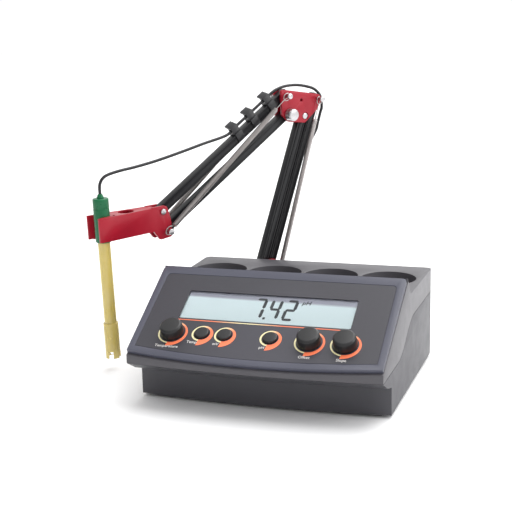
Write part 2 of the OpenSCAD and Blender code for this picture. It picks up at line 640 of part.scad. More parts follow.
module electrode_core() color("#e8e2c8") in_electrode() {
    difference() {
        translate([0, 0, ring_z - 3.4]) cylinder(r = core_r + 1.1, h = 5.6, $fn = 40);
        translate([0, 0, ring_z - 4]) cylinder(r = core_r, h = 8, $fn = 40);
    }
    translate([0, 0, ring_z + 2]) cylinder(r = core_r, h = cap_bottom - ring_z + 3, $fn = 40);
}
module sensing_bulb() color("#e6eef0") in_electrode() {
    translate([0, 0, ring_z - 5.6]) sphere(r = 3.2, $fn = 40);
    translate([0, 0, ring_z - 4]) cylinder(r = core_r - 0.1, h = 5.9, $fn = 40);
}
module strain_relief() color("#12744a") in_electrode() translate([0, 0, cap_top]) rotate_extrude()
    polygon([[0, -3.9], [2.4, -3.9], [2.4, 0], [3.6, 0], [3.2, 1.3], [2.5, relief_len - 0.9],
        [2.1, relief_len], [0, relief_len]]);

// --- Cable ---
function spline(p0, p1, p2, p3, t) = 0.5 * (2 * p1 + (p2 - p0) * t + (2 * p0 - 5 * p1 + 4 * p2 - p3) * t * t
    + (3 * p1 - p0 - 3 * p2 + p3) * t * t * t);
function smooth(route, steps) = let (n = len(route)) concat(
    [for (i = [0:n - 2], k = [0:steps - 1])
        spline(route[max(i - 1, 0)], route[i], route[i + 1], route[min(i + 2, n - 1)], k / steps)],
    [route[n - 1]]);
function heading(line, i) = unit(line[min(i + 1, len(line) - 1)] - line[max(i - 1, 0)]);
module cord(line, r, sides = 8) {
    upright = [0.31, 0.17, 1];
    rings = [for (i = [0:len(line) - 1]) let (t = heading(line, i),
        u = unit(cross(t, upright)), v = cross(t, u))
        for (k = [0:sides - 1]) line[i] + r * (cos(360 * k / sides) * u + sin(360 * k / sides) * v)];
    n = len(line);
    polyhedron(rings, concat(
        [[for (k = [0:sides - 1]) k]],
        [for (i = [0:n - 2], k = [0:sides - 1]) let (a = i * sides + k, b = i * sides + (k + 1) % sides)
            [a, a + sides, b + sides, b]],
        [[for (k = [sides - 1:-1:0]) (n - 1) * sides + k]]), convexity = 8);
}
// A point of the arm's frame in the case's frame
function from_arm(p) = [swivel_x + p.x * cos(arm_turn) - p.y * sin(arm_turn),
    swivel_y + p.x * sin(arm_turn) + p.y * cos(arm_turn), p.z];
function on_bar(d) = [elbow_top.x + d * along_upper.x - cable_rise * along_upper.y, 0,
    elbow_top.y + d * along_upper.y + cable_rise * along_upper.x];
relief_end = cap_top + relief_len;
function above_relief(rise) = [
    holder_top.x + stem_x * cos(droop) + (relief_end + rise) * sin(droop), 0,
    holder_top.y - stem_x * sin(droop) + (relief_end + rise) * cos(droop)];
function last(route) = route[len(route) - 1];
arc_line = concat([for (rise = [0.06, 5]) above_relief(rise)], arc_route,
    [for (d = [79, 68, 56, 44, 31, 18]) on_bar(d)]);
elbow_line = concat([for (d = [18, 13, 8]) on_bar(d)], elbow_route);
back_line = concat([last(elbow_route)], back_route);
drop_line = concat([last(back_route)], drop_route);
lead_line = concat([for (p = concat([last(drop_route)], landing_route)) from_arm(p)], bench_route);
tail_line = concat(tail_route, [[bnc_at.x, plug_y, bnc_at.y]]);
module cable(line, steps) color("#202124") cord(smooth(line, steps), cable_r);
module arm_cable(line, steps) cable([for (p = line) from_arm(p)], steps);
module cable_arc() arm_cable(arc_line, 2);
module cable_elbow() arm_cable(elbow_line, 2);
module cable_back() arm_cable(back_line, 1);
module cable_drop() arm_cable(drop_line, 1);
module cable_lead() {
    cable(lead_line, 1);
    cable(tail_line, 2);
}
module cable_coil() color("#202124") translate([coil_at.x, coil_at.y, 0]) rotate_extrude()
    translate([coil_inner - cable_r, 0.1]) square([coil_outer - coil_inner + 2 * cable_r, 3]);

// --- Cable connector ---
module bnc_plug() color("#c3c6ca") translate([bnc_at.x, half_d + 1.2, bnc_at.y])
    rotate([-90, 0, 0]) difference() {
    rotate_extrude() polygon([[0, 9], [5.1, 9], [5.1, 22], [3.9, 23], [3.9, 32], [2.6, plug_y - half_d - 1.2],
        [0, plug_y - half_d - 1.2]]);
    translate([0, 0, 8]) cylinder(r = 2, h = 4, $fn = 24);
}
module bnc_ring() color("#d0d2d6") translate([bnc_at.x, half_d + 1.2, bnc_at.y])
    rotate([-90, 0, 0]) difference() {
    union() {
        cylinder(r = 7.1, h = 12);
        translate([0, 0, 3]) cylinder(r = 7.4, h = 7.5);
    }
    translate([0, 0, -1]) cylinder(r = 5.1 + slack, h = 16);
    for (k = [0:11]) rotate([0, 0, 30 * k]) translate([7.3, -0.6, 4]) cube([2, 1.2, 5.5]);
}

base_case();
top_case();
front_bezel();
panel_label();
display_window();
display_module();
main_board();
board_screws();
control_knob(knob_at[0]);  // temperature_knob
control_knob(knob_at[1]);  // offset_knob
control_knob(knob_at[2]);  // slope_knob
control_shaft(knob_at[0]);  // temperature_shaft
control_shaft(knob_at[1]);  // offset_shaft
control_shaft(knob_at[2]);  // slope_shaft
potentiometers();
round_key(key_at[0]);  // temperature_key
round_key(key_at[1]);  // millivolt_key
round_key(key_at[2]);  // ph_key
key_switches();
feet();
case_screws();
input_board();
bnc_socket();
probe_socket();
power_socket();
stand_plate();
plate_screws();
swivel_post();
swivel_bush();
swivel_bracket();
bracket_pins();
lower_bar_front();
lower_bar_rear();
lower_springs();
elbow_plate_front();
elbow_plate_rear();
elbow_spacer();
elbow_pins();
elbow_knob();
upper_bar();
upper_link();
upper_springs();
electrode_holder();
holder_pins();
cable_clips();
electrode_cap();
electrode_tube();
electrode_guard();
junction_ring();
electrode_core();
sensing_bulb();
strain_relief();
cable_arc();
cable_elbow();
cable_back();
cable_drop();
cable_lead();
cable_coil();
bnc_plug();
bnc_ring();
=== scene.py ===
import json
from math import cos, pi, radians, sin

import bmesh
import bpy
from mathutils import Matrix, Vector


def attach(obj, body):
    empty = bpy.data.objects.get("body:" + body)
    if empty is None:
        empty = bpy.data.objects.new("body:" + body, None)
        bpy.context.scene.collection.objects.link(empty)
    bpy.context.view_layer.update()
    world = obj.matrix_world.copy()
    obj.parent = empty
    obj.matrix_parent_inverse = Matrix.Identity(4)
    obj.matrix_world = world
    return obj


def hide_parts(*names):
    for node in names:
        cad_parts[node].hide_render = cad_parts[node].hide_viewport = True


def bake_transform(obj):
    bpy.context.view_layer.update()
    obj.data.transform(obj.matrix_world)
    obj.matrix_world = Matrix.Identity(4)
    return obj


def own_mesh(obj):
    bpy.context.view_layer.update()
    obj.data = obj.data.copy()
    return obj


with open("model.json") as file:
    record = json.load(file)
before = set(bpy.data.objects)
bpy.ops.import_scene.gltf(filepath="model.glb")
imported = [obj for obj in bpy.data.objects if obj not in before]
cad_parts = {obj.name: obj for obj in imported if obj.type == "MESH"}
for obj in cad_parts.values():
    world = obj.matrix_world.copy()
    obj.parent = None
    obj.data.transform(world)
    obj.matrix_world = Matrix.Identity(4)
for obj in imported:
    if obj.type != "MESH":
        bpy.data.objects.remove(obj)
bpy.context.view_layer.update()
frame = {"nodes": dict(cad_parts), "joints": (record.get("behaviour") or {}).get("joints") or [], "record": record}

bl_info = {
    "name": "Bench pH meter",
    "version": (1, 0, 0),
    "blender": (4, 5, 0),
    "location": "3D View > Sidebar > pH meter",
    "description": "Finishes a bench pH meter with its electrode arm, springs and cable",
    "category": "Object",
}

MM = 0.001
BODY_OF = {node: body for body, nodes in frame["record"]["behaviour"]["bodies"].items() for node in nodes}
JOINTS = {joint["name"]: joint for joint in frame["joints"]}

# The panel's own frame: x across, y up the slope, z out of it
PANEL_TILT = radians(28.7)
PANEL_ORIGIN = Vector((0, -105, 53.8))
WINDOW_AT = (-0.5, 61.8)
WINDOW_SIZE = (157, 35.4)
KNOBS = {"temperature_knob": (-78.6, 25), "offset_knob": (46, 25.2), "slope_knob": (77.5, 25.2)}
KEYS = {"temperature_key": (-51.5, 26.3), "millivolt_key": (-30.5, 26.3), "ph_key": (11, 26.3)}
LABEL_FACE, FIGURE_FACE, GROUND_FACE = -0.1, -1.98, -2.09
FIGURE_BASE, FIGURE_THICK = 50.1, 0.12
KNOB_RADIUS, KEY_RADIUS = 10.5, 6.4

# The arm's own frame: x forward along the arm, y to its side, z up
SWIVEL_AT = (-64, 140)
ARM_TURN = radians(234)
BAR_LENGTH = 184
LOWER_ANGLE, UPPER_ANGLE, DROOP = radians(110.3), radians(-33.8), radians(1.8)
SPRING_SIDE = 10.7
EYE_STEPS, EYE_SHARE = 16, 0.86
CABLE_RISE = 10


def along(start, angle, length):
    return (start[0] + length * cos(angle), start[1] + length * sin(angle))


FOOT_FRONT = (12.5, 58)
FOOT_REAR = (FOOT_FRONT[0] - 17.1, FOOT_FRONT[1] + 16.8)
FOOT_ANCHOR = (-6, 53)
ELBOW_FRONT = along(FOOT_FRONT, LOWER_ANGLE, BAR_LENGTH)
ELBOW_REAR = (ELBOW_FRONT[0] - 17.1, ELBOW_FRONT[1] + 16.8)
ELBOW_TOP = (ELBOW_FRONT[0] + 25.6, ELBOW_FRONT[1] + 22.6)
ELBOW_LOW = (ELBOW_TOP[0] - 4.2, ELBOW_TOP[1] - 19.6)
HOLDER_TOP = along(ELBOW_TOP, UPPER_ANGLE, BAR_LENGTH)
HOLDER_LOW = (HOLDER_TOP[0] - 4.2, HOLDER_TOP[1] - 19.6)
STEM_X, RELIEF_END = 63, 26


def in_arm(s, side, z):
    """A point of the arm's frame, in millimetres, as a place in metres."""
    x = SWIVEL_AT[0] + s * cos(ARM_TURN) - side * sin(ARM_TURN)
    y = SWIVEL_AT[1] + s * sin(ARM_TURN) + side * cos(ARM_TURN)
    return Vector((x, y, z)) * MM


def on_panel(x, y, height=0.0):
    """A point of the panel's frame, in millimetres, as a place in metres."""
    turned = Matrix.Rotation(PANEL_TILT, 3, "X") @ Vector((x, y, height))
    return (PANEL_ORIGIN + turned) * MM


# --- The cable's route, in millimetres, section by section ---
ARC_ROUTE = [(190.4, 0, 184.5), (187.6, 0, 188.9), (182, 0, 192), (170, 0, 194.4), (150, 0, 196.7),
             (127, 0, 200.3), (99, 0, 206), (72, 0, 212)]
ELBOW_ROUTE = [(-20, 0, 260), (-30, 0, 262.5), (-44, 0, 263), (-58, 0, 261), (-70, 0, 257), (-78, 0, 249),
               (-79.5, 0, 238), (-77.5, 0, 232), (-75.5, 0, 226)]
BACK_ROUTE = [(-73.5, 0, 220), (-71.5, 0, 214), (-67, -6, 200), (-62, -13, 184), (-55, -16, 166),
              (-45, -16, 144), (-36, -17, 124), (-28, -17, 106), (-26, -17, 100), (-24, -17, 94)]
DROP_ROUTE = [(-22, -17, 88), (-20, -17, 82), (-19, -18, 72), (-20, -18, 60), (-21, -18, 54), (-22, -18, 48)]
LANDING_ROUTE = [(-23, -18, 42), (-24, -18, 36)]
BENCH_ROUTE = [(-62, 176, 16), (-57, 183, 5.2), (-46, 187, 1.9), (-26, 188.5, 1.6), (-6, 188, 1.6),
               (16, 187, 1.6), (40, 186.5, 1.6)]
COIL_AT = (40, 165)
COIL_INNER, COIL_TURNS = 12.5, 3
TAIL_ROUTE = [(48, 178.2, 5.2), (56, 177.2, 9), (61.5, 173.5, 16), (63.4, 168.5, 23.5),
              (63, 163, 28.5), (62, 157, 30), (62, 152, 30)]


# --- Sizes and colours that a user may change ---
def size(label, words, default):
    return bpy.props.FloatProperty(name=label, description=words, default=default, unit="LENGTH")


def tint(label, words, default):
    return bpy.props.FloatVectorProperty(name=label, description=words, default=default, subtype="COLOR",
                                         size=3, min=0, max=1)


class MeterSizes(bpy.types.PropertyGroup):
    cable: size("Cable diameter", "Diameter of the electrode's cable", 0.003)
    wire: size("Spring wire", "Diameter of the balance springs' wire", 0.0009)
    coil: size("Spring diameter", "Outer diameter of the balance springs", 0.0054)
    shell_edge: size("Shell edge", "Radius along the case's moulded edges", 0.0012)
    small_edge: size("Small edge", "Radius along the edges of small pieces", 0.0003)
    ring_gap: size("Ring gap", "Gap between a control and the ring printed round it", 0.0012)


class MeterColours(bpy.types.PropertyGroup):
    case: tint("Case", "Upper shell's plastic", (0.068, 0.065, 0.074))
    base: tint("Base", "Lower shell's plastic", (0.046, 0.045, 0.053))
    bezel: tint("Bezel", "Blue-grey panel frame", (0.064, 0.066, 0.092))
    label: tint("Label", "Printed panel sheet", (0.029, 0.028, 0.037))
    display: tint("Display", "Pale display ground", (0.58, 0.66, 0.67))
    red: tint("Red", "Arm's moulded plastic", (0.34, 0.006, 0.020))
    green: tint("Green", "Electrode's cap", (0.001, 0.115, 0.040))
    amber: tint("Amber", "Electrode's tube", (0.97, 0.76, 0.16))
    orange: tint("Orange", "Thick part of the printed rings", (0.88, 0.19, 0.080))
    yellow: tint("Yellow", "Thin part of the printed rings", (0.82, 0.76, 0.43))


# --- Shader nodes written as expressions ---
class Socket:
    """One output of a node tree, with arithmetic that adds Math nodes."""

    def __init__(self, tree, out):
        self.tree, self.out = tree, out

    def math(self, operation, other, swap=False):
        values = [other, self] if swap else [self, other]
        return self.tree.node("ShaderNodeMath", {"operation": operation}, values)

    def __add__(self, other):
        return self.math("ADD", other)

    def __sub__(self, other):
        return self.math("SUBTRACT", other)

    def __rsub__(self, other):
        return self.math("SUBTRACT", other, swap=True)

    def __mul__(self, other):
        return self.math("MULTIPLY", other)

    def __truediv__(self, other):
        return self.math("DIVIDE", other)

    def __gt__(self, other):
        return self.math("GREATER_THAN", other)

    def clamped(self):
        return self.tree.node("ShaderNodeClamp", {}, [self])


class Finish:
    """A material with one Principled shader, and a few calls that build its nodes."""

    def __init__(self, name, colour, roughness, **constants):
        self.material = bpy.data.materials.new(name)
        self.material.use_nodes = True
        self.nodes = self.material.node_tree.nodes
        self.links = self.material.node_tree.links
        self.shader = self.nodes["Principled BSDF"]
        self.shader.inputs["Base Color"].default_value = (*colour, 1)
        self.shader.inputs["Roughness"].default_value = roughness
        for key, value in constants.items():
            self.shader.inputs[key.replace("_", " ").title().replace("Ior", "IOR")].default_value = value

    def node(self, kind, settings, values, out=0):
        made = self.nodes.new(kind)
        for key, value in settings.items():
            setattr(made, key, value)
        items = values.items() if isinstance(values, dict) else enumerate(values)
        for key, value in items:
            if isinstance(value, Socket):
                self.links.new(value.out, made.inputs[key])
            else:
                made.inputs[key].default_value = value
        return Socket(self, made.outputs[out])

    def place(self):
        return self.node("ShaderNodeTexCoord", {}, {}, "Object")

    def axes(self, vector):
        """The three numbers of a vector."""
        split = self.nodes.new("ShaderNodeSeparateXYZ")
        self.links.new(vector.out, split.inputs[0])
        return [Socket(self, out) for out in split.outputs]

    def turned(self, origin, rotation=(0, 0, 0), scale=(1, 1, 1)):
        """Object coordinates seen from a frame with this origin and turn."""
        moved = self.node("ShaderNodeVectorMath", {"operation": "SUBTRACT"}, [self.place(), tuple(origin)])
        return self.node("ShaderNodeMapping", {"vector_type": "TEXTURE"},
                         {"Vector": moved, "Rotation": rotation, "Scale": scale})

    def noise(self, scale, detail=3.0, vector=None, roughness=0.5):
        return self.node("ShaderNodeTexNoise", {}, {"Vector": vector or self.place(), "Scale": scale,
                                                     "Detail": detail, "Roughness": roughness})

    def mix(self, factor, first, second):
        made = self.nodes.new("ShaderNodeMix")
        made.data_type = "RGBA"
        for socket, value in zip((made.inputs[0], made.inputs[6], made.inputs[7]), (factor, first, second)):
            if isinstance(value, Socket):
                self.links.new(value.out, socket)
            elif isinstance(value, (int, float)):
                socket.default_value = value
            else:
                socket.default_value = (*value, 1)
        return Socket(self, made.outputs[2])

    def vary(self, colour, amount, scale, vector=None, detail=4.0):
        """The colour a little darker and lighter over the surface."""
        dark = tuple(c * (1 - amount) for c in colour)
        light = tuple(min(1, c * (1 + amount)) for c in colour)
        return self.mix(self.noise(scale, detail, vector), dark, light)

    def paint(self, socket):
        self.links.new(socket.out, self.shader.inputs["Base Color"])
        return self

    def feed(self, name, socket):
        self.links.new(socket.out, self.shader.inputs[name])
        return self

    def bump(self, height, strength, distance):
        made = self.node("ShaderNodeBump", {},
                         {"Height": height, "Strength": strength, "Distance": distance})
        self.links.new(made.out, self.shader.inputs["Normal"])
        return self


# --- Finishes ---
def moulded_plastic(name, colour, roughness=0.42, grain=900, depth=0.00012, tone=0.06):
    """Fine spark-eroded grain, with a faint unevenness of tone and of sheen."""
    made = Finish(name, colour, roughness, specular_ior_level=0.45)
    made.paint(made.vary(colour, tone, 26))
    made.feed("Roughness", made.noise(70, 4) * 0.16 + (roughness - 0.08))
    return made.bump(made.noise(grain, 3, roughness=0.6), 0.55, depth)


def gloss_plastic(name, colour, roughness=0.3, coat=0.06):
    made = Finish(name, colour, roughness, coat_weight=coat, coat_roughness=0.2, specular_ior_level=0.32)
    made.paint(made.vary(colour, 0.14, 60, detail=5))
    made.feed("Roughness", made.noise(240, 4) * 0.2 + (roughness - 0.1))
    return made.bump(made.noise(520, 3), 0.35, 0.0001)


def bright_metal(name, colour=(0.80, 0.80, 0.81), roughness=0.22, grain=(1, 1, 40)):
    made = Finish(name, colour, roughness, metallic=1.0)
    streaks = made.noise(500, 3, made.turned((0, 0, 0), scale=tuple(0.05 * g for g in grain)))
    made.paint(made.vary(colour, 0.08, 120))
    made.feed("Roughness", streaks * 0.22 + (roughness - 0.08))
    return made.bump(streaks, 0.12, 0.00005)


def drawn_bar(name, colour, origin, turn):
    """Black anodised bar, with die lines along its length."""
    made = Finish(name, colour, 0.34, specular_ior_level=0.34)
    lengthways = made.turned(origin, turn, scale=(0.05, 0.001, 0.001))
    lines = made.noise(1.6, 4, lengthways, 0.7)
    made.paint(made.mix(lines, tuple(0.62 * c for c in colour), tuple(min(1, 1.7 * c) for c in colour)))
    made.feed("Roughness", lines * 0.22 + 0.26)
    return made.bump(lines, 0.35, 0.00012)


def soft_rubber(name, colour, roughness=0.55):
    made = Finish(name, colour, roughness, specular_ior_level=0.4)
    made.paint(made.vary(colour, 0.18, 150))
    made.feed("Roughness", made.noise(300, 4) * 0.2 + (roughness - 0.1))
    return made.bump(made.noise(1500, 2), 0.3, 0.00008)


def printed_ink(name, colour, roughness=0.5):
    made = Finish(name, colour, roughness)
    made.paint(made.vary(colour, 0.05, 300))
    return made.bump(made.noise(2200, 2), 0.2, 0.00003)


def shaded_ink(colours):
    """Ink that runs from pale yellow to orange along each printed mark."""
    made = Finish("Shaded ink", colours.orange, 0.5)
    share = made.node("ShaderNodeAttribute", {"attribute_name": "share"}, {}, "Fac")
    made.paint(made.mix((share + made.noise(900, 2) * 0.04).clamped(), colours.yellow, colours.orange))
    return made.bump(made.noise(2200, 2), 0.2, 0.00003)


def panel_print(colours):
    """Charcoal sheet with a painted pool of light that makes it a little lighter towards its lower middle, with a
    fine pebbled face.
    """
    made = Finish("Panel print", colours.label, 0.44)
    flat = made.turned(PANEL_ORIGIN * MM, (PANEL_TILT, 0, 0))
    across, up, _ = made.axes(flat)
    # painted light: a pool of light mixed into the sheet's colour round its lower middle, towards a lighter copy
    # of that colour
    painted_light = (1 - (across - 0.01) * (across - 0.01) * 180 - up * up * 90).clamped()
    light = tuple(min(1, c * 1.42) for c in colours.label)
    made.paint(made.mix(painted_light, colours.label, light))
    made.feed("Roughness", made.noise(260, 3) * 0.14 + 0.38)
    return made.bump(made.noise(1400, 3), 0.5, 0.00008)


def display_ground(colours):
    """Reflective display ground: pale, with painted shade from the window along its top edge and painted light
    that makes it paler towards its top and its left.
    """
    made = Finish("Display ground", colours.display, 0.35)
    flat = made.turned(PANEL_ORIGIN * MM, (PANEL_TILT, 0, 0))
    across, up, _ = made.axes(flat)
    top = (WINDOW_AT[1] + WINDOW_SIZE[1] / 2) * MM
    # painted shade: a grey band where the window's top edge shades the ground
    shade = (1 - (top - up) / (across * 0.012 + 0.0078)).clamped()
    shade = (shade * 3.0).clamped()
    # painted light: the ground is mixed towards a paler copy of its colour towards its top and its left
    painted_light = ((up - 0.050) * 20 - across * 2.2).clamped()
    pale = made.mix(painted_light, colours.display, (0.72, 0.80, 0.82))
    made.paint(made.mix(shade, pale, (0.30, 0.29, 0.35)))
    return made.bump(made.noise(900, 2), 0.1, 0.00002)


def clear_window():
    made = Finish("Clear window", (0.95, 0.98, 0.99), 0.06, transmission_weight=1.0, ior=1.2)
    made.feed("Roughness", made.noise(90, 3) * 0.05 + 0.03)
    return made


def amber_tube(colours):
    """Translucent moulded tube that shows its core faintly, with a cloudy tone."""
    made = Finish("Amber tube", colours.amber, 0.22, transmission_weight=0.35, ior=1.42, coat_weight=0.4)
    cloudy = made.noise(95, 5)
    made.paint(made.mix(cloudy, tuple(0.78 * c for c in colours.amber), (0.86, 0.72, 0.30)))
    made.feed("Roughness", made.noise(200, 4) * 0.16 + 0.16)
    return made.bump(made.noise(260, 3), 0.2, 0.00008)


def board_mask():
    made = Finish("Solder mask", (0.02, 0.12, 0.05), 0.3, coat_weight=0.3)
    tracks = made.noise(900, 1, made.turned((0, 0, 0), scale=(0.3, 1, 1))) > 0.55
    made.paint(made.mix(tracks * 0.6, (0.012, 0.09, 0.035), (0.05, 0.20, 0.08)))
    return made.bump(tracks, 0.3, 0.00004)


# --- Mesh tools ---
WELD = 0.000002


def nothing_selected():
    if bpy.context.object and bpy.context.object.mode != "OBJECT":
        bpy.ops.object.mode_set(mode="OBJECT")
    bpy.ops.object.select_all(action="DESELECT")


def only(piece):
    nothing_selected()
    piece.select_set(True)
    bpy.context.view_layer.objects.active = piece


def settle(piece):
    """Puts a piece's place into its mesh."""
    only(piece)
    bpy.ops.object.transform_apply(location=True, rotation=True, scale=True)
    return piece


def finish_with(piece, finish):
    piece.data.materials.clear()
    piece.data.materials.append(finish.material)
    return piece


def smooth(piece, angle=32):
    only(piece)
    bpy.ops.object.shade_smooth_by_angle(angle=radians(angle))
    return piece


def modifier(piece, kind, **settings):
    made = piece.modifiers.new(kind.title(), kind)
    for key, value in settings.items():
        setattr(made, key, value)
    only(piece)
    bpy.ops.object.modifier_apply(modifier=made.name)


def mesh_piece(name, points, faces):
    """A new mesh piece from points in metres."""
    data = bpy.data.meshes.new(name)
    data.from_pydata([tuple(p) for p in points], [], faces)
    data.update()
    piece = bpy.data.objects.new(name, data)
    bpy.context.scene.collection.objects.link(piece)
    return piece


def softened(node, finish, edge, segments=2, body=None, angle=30, name=None):
    """A CAD node's shape with its sharp edges rounded, standing for the node."""
    source = frame["nodes"][node]
    piece = bpy.data.objects.new(name or node + "_moulding", source.data.copy())
    bpy.context.scene.collection.objects.link(piece)
    mesh = bmesh.new()
    mesh.from_mesh(piece.data)
    bmesh.ops.remove_doubles(mesh, verts=mesh.verts, dist=WELD)
    bmesh.ops.dissolve_limit(mesh, angle_limit=radians(0.6), verts=mesh.verts, edges=mesh.edges)
    mesh.to_mesh(piece.data)
    mesh.free()
    only(piece)
    modifier(piece, "BEVEL", width=edge, segments=segments, limit_method="ANGLE", angle_limit=radians(angle),
             harden_normals=False, use_clamp_overlap=True)
    smooth(piece, 40)
    finish_with(piece, finish)
    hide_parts(node)
    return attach(piece, body or BODY_OF[node])


def dressed(node, finish):
    """A CAD node that keeps its own shape and gets a finish."""
    piece = frame["nodes"][node]
    piece.data.materials.clear()
    piece.data.materials.append(finish.material)
    only(piece)
    bpy.ops.object.shade_smooth_by_angle(angle=radians(32))


def panel_shape(name, outline, height, thick, finish):
    """A thin flat piece on the panel, from an outline in the panel's millimetres."""
    count = len(outline)
    points = [on_panel(x, y, level) for level in (height, height + thick) for x, y in outline]
    faces = [list(range(count - 1, -1, -1)), list(range(count, 2 * count))]
    faces += [[k, (k + 1) % count, count + (k + 1) % count, count + k] for k in range(count)]
    piece = finish_with(mesh_piece(name, points, faces), finish)
    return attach(piece, "root")


def printed_strip(name, lower, upper, shares, finish):
    """A printed mark on the panel between two lines of points, with the ink's share at each."""
    count = len(lower)
    points = [on_panel(x, y, LABEL_FACE + 0.01) for x, y in lower + upper]
    points += [on_panel(x, y, LABEL_FACE + 0.06) for x, y in lower + upper]
    faces = []
    for k in range(count - 1):
        faces.append([2 * count + k, 2 * count + k + 1, 3 * count + k + 1, 3 * count + k])
        faces.append([count + k, count + k + 1, k + 1, k])
        faces.append([k, k + 1, 2 * count + k + 1, 2 * count + k])
        faces.append([3 * count + k, 3 * count + k + 1, count + k + 1, count + k])
    last = count - 1
    faces.append([0, 2 * count, 3 * count, count])
    faces.append([last, count + last, 3 * count + last, 2 * count + last])
    piece = finish_with(mesh_piece(name, points, faces), finish)
    only(piece)
    bpy.ops.object.mode_set(mode="EDIT")
    bpy.ops.mesh.select_all(action="SELECT")
    bpy.ops.mesh.normals_make_consistent(inside=False)
    bpy.ops.object.mode_set(mode="OBJECT")
    kept = piece.data.attributes.new("share", "FLOAT", "POINT")
    for k, value in enumerate(list(shares) * 4):
        kept.data[k].value = value
    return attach(piece, "root")


# --- Cord tools ---
def spline_points(route, steps):
    """A smooth line through every point of a route."""
    line, last = [], len(route) - 1
    for i in range(last):
        p0, p1, p2, p3 = (Vector(route[max(0, min(last, j))]) for j in (i - 1, i, i + 1, i + 2))
        for k in range(steps):
            t = k / steps
            line.append(0.5 * (2 * p1 + (p2 - p0) * t + (2 * p0 - 5 * p1 + 4 * p2 - p3) * t * t
                               + (3 * p1 - p0 - 3 * p2 + p3) * t ** 3))
    return line + [Vector(route[last])]


def tube(name, line, radius, sides=12):
    """A round tube swept along a line, with rings that don't twist."""
    points, faces = [], []
    side = None
    for i, place in enumerate(line):
        ahead = (line[min(i + 1, len(line) - 1)] - line[max(i - 1, 0)]).normalized()
        if side is None:
            side = ahead.cross(Vector((0.31, 0.17, 1))).normalized()
        side = (side - ahead * side.dot(ahead)).normalized()
        over = ahead.cross(side)
        for k in range(sides):
            turn = 2 * pi * k / sides
            points.append(place + radius * (cos(turn) * side + sin(turn) * over))
    for i in range(len(line) - 1):
        for k in range(sides):
            a, b = i * sides + k, i * sides + (k + 1) % sides
            faces.append([a, b, b + sides, a + sides])
    faces.append(list(range(sides - 1, -1, -1)))
    faces.append(list(range((len(line) - 1) * sides, len(line) * sides)))
    return smooth(mesh_piece(name, points, faces), 50)


def length_of(line):
    return sum((b - a).length for a, b in zip(line, line[1:]))


def on_bar(distance):
    return (ELBOW_TOP[0] + distance * cos(UPPER_ANGLE) - CABLE_RISE * sin(UPPER_ANGLE), 0,
            ELBOW_TOP[1] + distance * sin(UPPER_ANGLE) + CABLE_RISE * cos(UPPER_ANGLE))


def above_relief(rise):
    reach = RELIEF_END + rise
    return (HOLDER_TOP[0] + STEM_X * cos(DROOP) + reach * sin(DROOP), 0,
            HOLDER_TOP[1] - STEM_X * sin(DROOP) + reach * cos(DROOP))


def arm_line(route, steps=6):
    return spline_points([in_arm(*point) for point in route], steps)


class METER_OT_stage(bpy.types.Operator):
    """Adds the camera, the pale bench and the soft studio light"""
    bl_idname = "meter.stage"
    bl_label = "Stage"

    def execute(self, context):
        azimuth, elevation, roll = radians(18.43), radians(12.77), radians(-1.35)
        ahead = Vector((-sin(azimuth) * cos(elevation), cos(azimuth) * cos(elevation), -sin(elevation)))
        level = Vector((cos(azimuth), sin(azimuth), 0))
        above = level.cross(ahead)
        right = level * cos(roll) + above * sin(roll)
        up = above * cos(roll) - level * sin(roll)
        lens = bpy.data.cameras.new("Camera")
        lens.lens, lens.sensor_width = 77.31, 36
        lens.clip_start, lens.clip_end = 0.05, 50
        camera = bpy.data.objects.new("Camera", lens)
        context.scene.collection.objects.link(camera)
        camera.matrix_world = Matrix.Translation(Vector((286.67, -942.04, 343.86)) * MM) @ Matrix(
            (right, up, -ahead)).transposed().to_4x4()
        context.scene.camera = camera

        nothing_selected()
        bpy.ops.mesh.primitive_plane_add(size=14, location=(0, 0, 0))
        bench = context.object
        bench.name = "bench"
        white = Finish("Bench white", (0.93, 0.93, 0.93), 0.6)
        white.paint(white.vary((0.93, 0.93, 0.935), 0.01, 3))
        finish_with(bench, white)

        world = bpy.data.worlds.new("Studio")
        context.scene.world = world
        world.use_nodes = True
        nodes, links = world.node_tree.nodes, world.node_tree.links
        heading = nodes.new("ShaderNodeTexCoord")
        toward = nodes.new("ShaderNodeVectorMath")
        toward.operation = "DOT_PRODUCT"
        toward.inputs[1].default_value = (0.62, 0.55, 0.56)
        soft = nodes.new("ShaderNodeMapRange")
        soft.interpolation_type = "SMOOTHSTEP"
        for key, value in (("From Min", -0.75), ("From Max", 0.1), ("To Min", 0.3), ("To Max", 1.02)):
            soft.inputs[key].default_value = value
        links.new(heading.outputs["Generated"], toward.inputs[0])
        links.new(toward.outputs["Value"], soft.inputs["Value"])
        links.new(soft.outputs["Result"], nodes["Background"].inputs["Strength"])
        nodes["Background"].inputs["Color"].default_value = (1, 1, 1, 1)
        lamps = (("Fill", (-0.3, -1.6, 1.3), 2.5, 1.4),
                 ("Side", (1.6, 0.1, 0.9), 9, 1.0),
                 ("Back", (0.3, 1.4, 1.3), 8, 1.2))
        for name, place, energy, width in lamps:
            lamp = bpy.data.lights.new(name, "AREA")
            lamp.energy, lamp.size = energy, width
            light = bpy.data.objects.new(name, lamp)
            context.scene.collection.objects.link(light)
            light.location = place
            light.rotation_euler = (Vector((0, 0, 0.08)) - Vector(place)).to_track_quat("-Z", "Y").to_euler()
        lamp = bpy.data.lights.new("Overhead", "SUN")
        lamp.energy, lamp.angle = 1.9, radians(50)
        light = bpy.data.objects.new("Overhead", lamp)
        context.scene.collection.objects.link(light)
        light.rotation_euler = Vector((-0.35, -0.25, -1.2)).to_track_quat("-Z", "Y").to_euler()
        context.scene.view_settings.view_transform = "Standard"
        return {"FINISHED"}


